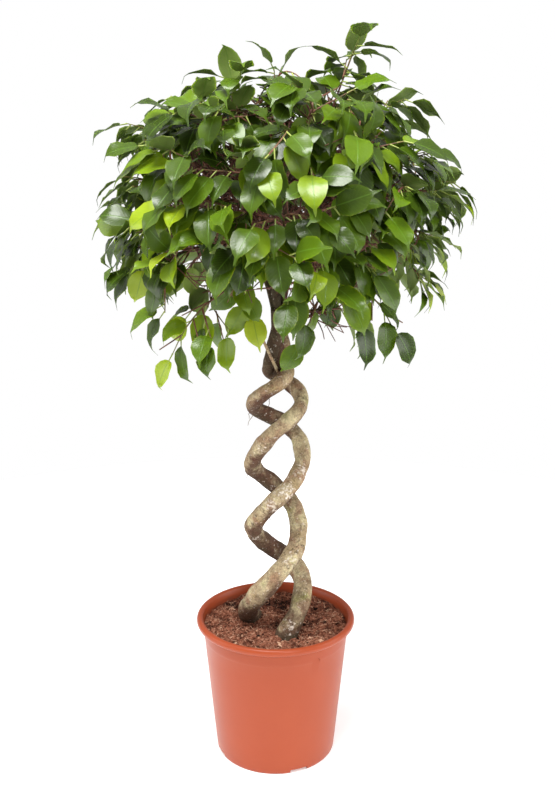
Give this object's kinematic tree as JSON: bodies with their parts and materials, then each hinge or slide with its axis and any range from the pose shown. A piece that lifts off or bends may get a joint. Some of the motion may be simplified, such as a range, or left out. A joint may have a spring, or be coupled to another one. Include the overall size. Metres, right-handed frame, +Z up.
{
  "type": "weeping fig",
  "caption": "Weeping fig grown as a standard: twin stems wound in a spiral, a dome of drooping drip-tipped leaves, standing in peat in a round tapered plastic pot.",
  "frame": {"origin": "centre of the pot's underside, at the level that it stands on", "axes": "+Z up along the plant's height, -Y towards the front of the picture"},
  "size_m": [0.4778, 0.4721, 0.9289],
  "materials": {
    "pot_plastic": "satin injection-moulded polypropylene, terracotta orange",
    "peat": "matt, loose red-brown peat and coir",
    "bark": "matt grey-beige bark with lichen-green and brown patches",
    "leaf": "waxy and glossy, dark to yellow-green"
  },
  "bodies": {
    "root": {"pot": "pot_plastic", "soil": "peat", "stem_left": "bark", "stem_right": "bark", "spray_01": "leaf", "spray_02": "leaf", "spray_03": "leaf", "spray_04": "leaf", "spray_05": "leaf", "spray_06": "leaf", "spray_07": "leaf", "spray_08": "leaf", "spray_09": "leaf", "spray_10": "leaf", "spray_11": "leaf", "spray_12": "leaf", "spray_13": "leaf", "spray_14": "leaf", "spray_15": "leaf", "spray_16": "leaf", "spray_17": "leaf", "spray_18": "leaf", "spray_19": "leaf", "spray_20": "leaf", "spray_21": "leaf", "spray_22": "leaf", "spray_23": "leaf", "spray_24": "leaf", "spray_25": "leaf", "spray_26": "leaf", "spray_27": "leaf", "spray_28": "leaf", "spray_29": "leaf", "spray_30": "leaf", "spray_31": "leaf", "spray_32": "leaf", "spray_33": "leaf", "spray_34": "leaf", "spray_35": "leaf", "spray_36": "leaf", "spray_37": "leaf", "spray_38": "leaf", "spray_39": "leaf", "spray_40": "leaf", "spray_41": "leaf", "spray_42": "leaf", "spray_43": "leaf", "spray_44": "leaf", "spray_45": "leaf", "spray_46": "leaf", "spray_47": "leaf", "spray_48": "leaf", "spray_49": "leaf"}
  },
  "joints": []
}
